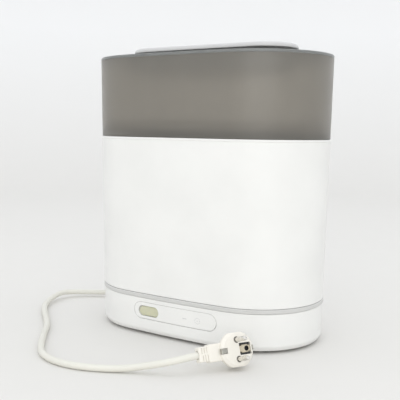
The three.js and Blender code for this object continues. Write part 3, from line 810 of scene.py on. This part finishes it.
def base_cover():
    """Bottom plate with vents, recesses for feet and screws, and two grooved guides for the circuit board."""
    plate = body_sweep("bottom_plate", [(30, 5.2), (6.9, 5.2, 0.3), (6.9, 3, 0.5), (30, 3)], WHITE)
    guides = [block(5, 7, 15, x, -63.6, 12.6) for x in (-44, 24)]
    carve(plate, guides, "UNION")
    tools = [block(5, 2.2, 14, x, -63.6, 15.2) for x in (-43, 23)]
    tools += [drum(8.4, 2, 3.9, x, y, 48) for x, y in FEET]
    tools += [slot_cutter(14, 1.6, 2, 6, x, 0, True) for x in (-24, -8, 8, 24)]
    carve(plate, tools)
    carve(plate, [drum(4, 2, 4.1, x, y, 40) for x, y in COVER_SCREWS])
    carve(plate, [drum(1.9, 2, 6, x, y, 24) for x, y in COVER_SCREWS])
    return finish(soften(plate), "bottom_plate", "base", "white_plastic", "base_cover")


def foot(index, x, y):
    pad = turned("pad", [
        (AXIS, 3.6), (8, 3.6, 0.3), (8, 0.2, 0.9), (6.6, 0, 0.5), (5.6, 0.35, 0.4), (3.2, 0.35, 0.3),
        (2.6, 0, 0.3), (AXIS, 0),
    ], FOOT, 48, at(x * MM, y * MM, 0))
    return finish(soften(pad), f"rubber_foot_{index}", "base", "foot_rubber", f"foot_{index}")


def screw(name, node, body, head_radius, head_bottom, head_top, shank_radius, shank_top, x, y):
    """A pan head that faces down, with a cross recess and a threaded shank, in millimetres."""
    pitch = 0.9
    core_radius = shank_radius * 0.8
    profile = [(AXIS, shank_top), (shank_radius * 0.55, shank_top)]
    z = shank_top - pitch
    while z > head_top + 1.0:
        profile += [(shank_radius, z), (core_radius, z - pitch / 2)]
        z -= pitch
    profile += [(core_radius, head_top), (head_radius, head_top, 0.15)]
    profile += [(head_radius * 0.92, head_bottom, 0.4), (AXIS, head_bottom)]
    piece = turned("screw", profile, STEEL, 28, at(x * MM, y * MM, 0))
    deep = min(1.2, (head_top - head_bottom) * 0.6)
    arm_length = head_radius * 1.1
    arm_width = 0.8
    for across, along in ((arm_length, arm_width), (arm_width, arm_length)):
        carve(piece, [block(across, along, 2 * deep, x, y, head_bottom)])
    return finish(soften(piece), name, body, "steel", node)


def make_base():
    base_housing()
    control_panel()
    panel_marks()
    trim_ring()
    base_cover()
    for i, (x, y) in enumerate(FEET, 1):
        foot(i, x, y)
    for i, (x, y) in enumerate(COVER_SCREWS, 1):
        screw(f"bottom_screw_{i}", f"cover_screw_{i}", "base", head_radius=3.6, head_bottom=3, head_top=3.8,
              shank_radius=1.5, shank_top=18, x=x, y=y)
    for i, (x, y) in enumerate(CLAMP_SCREWS, 1):
        screw(f"ring_screw_{i}", f"clamp_ring_screw_{i}", "base", head_radius=3.2, head_bottom=24.4,
              head_top=26.1, shank_radius=1.5, shank_top=31.6, x=x, y=y)


make_base()


# ---------------------------------------------------------------- heating and controls
def heating_plate():
    plate = turned("heater_dish", [
        (AXIS, 33.2), (38.6, 33.2, 1.5), (42, 31.8, 1.0), (42.8, 30, 0.5), (48.6, 30, 0.3), (48.6, 28.4, 0.3),
        (39.4, 28.4, 0.5), (38.4, 30.2, 0.6), (36, 31.2, 0.6), (AXIS, 31.2),
    ], HEATER, 96)
    return finish(soften(plate), "heater_dish", "base", "heater_plate", "heating_plate")


def power_button():
    """Oval lens with a soft edge, its flange behind the wall and the stem to the switch."""
    lens = wall_pill("lens", BUTTON, [
        (-4.6, 0), (-2.4, 0.06), (-0.9, 0.2), (-0.25, 0.5), (0, 1.0), (0, 2.6), (1.2, 2.6), (1.2, 3.8),
        (-3, 3.8),
    ], LENS, flat_y=-77.2 * MM)
    stem = turned("stem", [(AXIS, 3), (1.5, 3), (1.5, 0), (AXIS, 0)], LENS, 32,
                  at(BUTTON["x"], -74.1 * MM, SWITCH_Z) @ ALONG_Y)
    carve(lens, [stem], "UNION")
    return finish(soften(lens), "button_cap", "button", "button_lens", "power_button")


def return_spring():
    """The coil round the button's stem."""
    turns = 3
    steps = 34 * turns
    front = -72.6 * MM
    length = 3.7 * MM
    coil_radius = 2.6
    wire = 0.45 * MM
    wire_sides = 10
    sweep = [2 * math.pi * k / wire_sides for k in range(wire_sides)]
    back = Vector((0, 1, 0))
    rings = []
    for i in range(steps + 1):
        turn = 2 * math.pi * turns * i / steps
        out = Vector((math.cos(turn), 0, math.sin(turn)))
        centre = Vector((BUTTON["x"], front + length * i / steps, SWITCH_Z)) + out * coil_radius * MM
        rings.append([tuple(centre + (out * math.cos(a) - back * math.sin(a)) * wire) for a in sweep])
    spring = soften(ring_mesh("spring", rings, STEEL))
    finish(spring, "return_spring", "base", "steel", "button_spring")
    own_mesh(spring)


def dress(material, *nodes):
    """Gives a material to nodes whose CAD shape stays as it is."""
    for node in nodes:
        recolour(NODES[node], material)


def make_inside():
    heating_plate()
    power_button()
    return_spring()
    dress(SEAL, "plate_seal")
    dress(STEEL, "heating_element", "clamp_ring", "thermal_fuse", "clamp_screw_1", "clamp_screw_2")
    dress(BRASS, "thermostat")
    dress(BOARD, "circuit_board")
    dress(DARK_AND_PAINTED_SHADE, "tact_switch", "relay")
    dress(LENS, "indicator_lamp")
    dress(NEUTRAL, "capacitor", "neutral_wire")
    dress(LIVE, "live_wire")
    dress(EARTH, "earth_wire")
    dress(WHITE, "cord_clamp")
    dress(PLUG_WHITE, "terminal_block")
    dress(SHEATH, "cord_tail")


make_inside()


# ---------------------------------------------------------------- baskets
def floor_slots(rows, columns, half_length, bottom, top, end_radius):
    """Slots in rows that keep inside the oval floor."""
    end_start = 63       # where the floor's round ends begin
    tools = []
    for y in rows:
        for x in columns:
            if math.hypot(max(0, abs(x) + half_length - end_start), y) < end_radius:
                tools.append(slot_cutter(half_length, 3, bottom, top, x, y))
    return tools


def large_basket():
    top = LARGE_TOP / MM
    bottom = LARGE_BOTTOM / MM
    shell = body_sweep("tall_basket", [
        (12, 60.5), (4.8, 61.2, 3), (2.8, 66, 2), (2.8, top - 0.6, 0.4), (2.4, top, 0.3), (0.1, top, 0.4),
        (-0.5, top - 0.7, 0.4), (-0.5, top - 2.3, 0.3), (0, top - 2.7, 0.2), (0, top - 8), (0, bottom + 6),
        (0, bottom + 0.5, 0.3), (0.5, bottom, 0.3), (5.9, bottom), (5.9, 47.5, 0.2), (8, 47.5, 0.2),
        (8, 52.4), (2.8, 52.4), (2.8, 56.4), (12, 57.8),
    ], WHITE, steps=5)
    slots = floor_slots([-44, -22, 0, 22, 44], [-72, -24, 24, 72], half_length=18, bottom=55, top=63,
                        end_radius=64)
    carve(shell, slots)
    return finish(soften(shell), "tall_basket", "lower_tier", "white_plastic", "large_basket")


def small_basket():
    top = SMALL_TOP / MM
    bottom = SMALL_BOTTOM / MM
    shell = body_sweep("smoky_basket", [
        (12, 232.6), (4.8, 233.2, 3), (2.6, 238, 2), (2.6, top, 0.3), (0, top, 0.4), (0, top - 6),
        (0, bottom + 6), (0, bottom + 0.5, 0.3), (0.5, bottom, 0.3), (3.3, bottom), (3.3, 223, 0.3),
        (5.6, 223, 0.3), (5.6, 228.8), (12, 230.2),
    ], SMOKY, steps=5)
    slots = floor_slots([-36, -12, 12, 36], [-66, -22, 22, 66], half_length=17, bottom=228, top=235,
                        end_radius=62)
    carve(shell, slots)
    return finish(soften(shell), "smoky_basket", "upper_tier", "smoky_plastic", "small_basket")


def items_plate():
    # painted light: the tray is paler than the smoky plastic it copies
    tray = body_sweep("items_tray", [
        (14, 236.4), (9.4, 236.8, 1.5), (8.2, 246, 0.4), (6.2, 246, 0.4), (7.3, 235.4, 1.0), (12, 234.2),
    ], SMOKY_TRAY_PAINTED_LIGHT, steps=5)
    slots = floor_slots([-40, -20, 0, 20, 40], [-54, 0, 54], half_length=20, bottom=233, top=238,
                        end_radius=60)
    carve(tray, slots)
    return finish(soften(tray), "items_tray", "items_plate", "smoky_plastic", "small_items_plate")


# ---------------------------------------------------------------- lid
def lid():
    """Smoky cover with a sunken well, and the three posts in it that carry the handle."""
    cover = body_sweep("smoky_lid", [
        (20, 318.8), (6, 318.8, 1.0), (2.6, 319.6, 0.8), (0.5, 319.6, 0.6), (0, 318.8, 0.4), (0, 316.6, 0.3),
        (3, 316.6), (3, 312, 0.3), (5, 312, 0.3), (5, 316.2, 0.3), (20, 316.6),
    ], SMOKY_LID, steps=5)
    half_length = PLATE_BOX[1].x
    cup = oval_sweep("cup", half_length, WELL_HALF_WIDTH, [
        (0, 317.6), (1.4, 301.8, 3), (14, 301.8),
    ], SMOKY_LID)
    carve(cover, [cup], "UNION")
    hollow = oval_sweep("cutter", half_length, WELL_HALF_WIDTH, [
        (14, 325), (1.0, 325), (1.0, 319.4), (2.2, 318, 1), (3.6, 304.2, 2.5), (14, 304.2),
    ], SMOKY_LID)
    carve(cover, [hollow])
    post_profile = [(AXIS, 326.4), (6, 326.4, 0.5), (6.3, 303.2), (AXIS, 303.2)]
    posts = [turned("post", post_profile, SMOKY_LID, 48, at(x, 0, 0)) for x in POSTS_X]
    carve(cover, posts, "UNION")
    carve(cover, [drum(2.3, 300, 330, x / MM, 0) for x in POSTS_X])
    tools = [drum(4.3, 300, 307, x / MM, 0, 40) for x in POSTS_X]
    tools += [slot_cutter(9, 2, 300, 306, x, y) for x in (-31, 31) for y in (-8, 8)]
    carve(cover, tools)
    return finish(soften(cover), "smoky_lid", "lid_assembly", "smoky_plastic", "lid")


def lid_handle():
    """Long carrying plate with a pebble edge and a slightly crowned top."""
    half_length = PLATE_BOX[1].x
    half_width = PLATE_BOX[1].y
    profile = [(34, 332.8), (22, 332.8), (14, 332.7), (8, 332.45), (4, 331.95), (1.9, 331.2), (0.8, 330.2),
               (0.25, 329.0), (0, 327.8), (0.05, 327.1), (0.5, 326.7), (14, 326.7), (34, 326.7)]
    plate = oval_sweep("carry_plate", half_length, half_width, profile, HANDLE)
    carve(plate, [drum(2.3, 325, 331, x / MM, 0) for x in POSTS_X])
    return finish(soften(plate), "carry_plate", "lid_assembly", "handle_plastic", "lid_handle")


def make_stack():
    large_basket()
    small_basket()
    items_plate()
    lid()
    lid_handle()
    for i, x in enumerate(POSTS_X, 1):
        screw(f"plate_screw_{i}", f"handle_screw_{i}", "lid_assembly", head_radius=3.8, head_bottom=304.2,
              head_top=306.6, shank_radius=1.8, shank_top=330.6, x=x / MM, y=0)


make_stack()


# ---------------------------------------------------------------- stage and light
def make_stage():
    """A round sweep of paper: flat floor that curves up into a wall all round."""
    flat = 1.7
    bend = 0.9
    bend_steps = 12
    sides = 96
    turns = [2 * math.pi * i / sides for i in range(sides)]
    profile = [(0.02, 0), (0.5, 0), (1.0, 0), (flat, 0)]
    for i in range(1, bend_steps + 1):
        turn = math.pi / 2 * i / bend_steps
        profile.append((flat + bend * math.sin(turn), bend * (1 - math.cos(turn))))
    profile.append((flat + bend, 1.0))
    rings = []
    for radius, z in reversed(profile):
        rings.append([(radius * math.cos(a), radius * math.sin(a), z) for a in turns])
    vertices = [point for ring in rings for point in ring]
    faces = []
    for k in range(len(rings) - 1):
        outer = k * sides
        inner = outer + sides
        for i in range(sides):
            j = (i + 1) % sides
            faces.append((outer + i, outer + j, inner + j, inner + i))
    faces.append(tuple(range(len(vertices) - sides, len(vertices))))
    mesh = bpy.data.meshes.new("studio_floor")
    mesh.from_pydata(vertices, [], faces)
    mesh.shade_smooth()
    floor = link("studio_floor", mesh, floor_material())


def area_light(name, energy, size, place, target, colour=(1, 1, 1)):
    lamp = bpy.data.lights.new(name, "AREA")
    lamp.energy = energy
    lamp.shape = "RECTANGLE"
    lamp.size, lamp.size_y = size
    lamp.color = colour
    light = bpy.data.objects.new(name, lamp)
    light.location = place
    aim = Vector(target) - Vector(place)
    light.rotation_euler = aim.to_track_quat("-Z", "Y").to_euler()
    light.visible_camera = False
    light.visible_transmission = False
    bpy.context.scene.collection.objects.link(light)


def make_light():
    world = bpy.data.worlds.new("studio")
    bpy.context.scene.world = world
    world.use_nodes = True
    background = world.node_tree.nodes["Background"]
    background.inputs["Color"].default_value = (0.955, 0.975, 1.0, 1)
    background.inputs["Strength"].default_value = 1.08
    area_light("overhead", 3, (1.8, 1.8), (0.1, 0.3, 1.9), (0, 0, 0.1))
    area_light("front", 10, (1.8, 1.0), (1.05, -1.75, 0.72), (0, 0, 0.2), (1.0, 0.985, 0.96))
    bpy.context.scene.view_settings.view_transform = "Standard"


make_stage()
make_light()
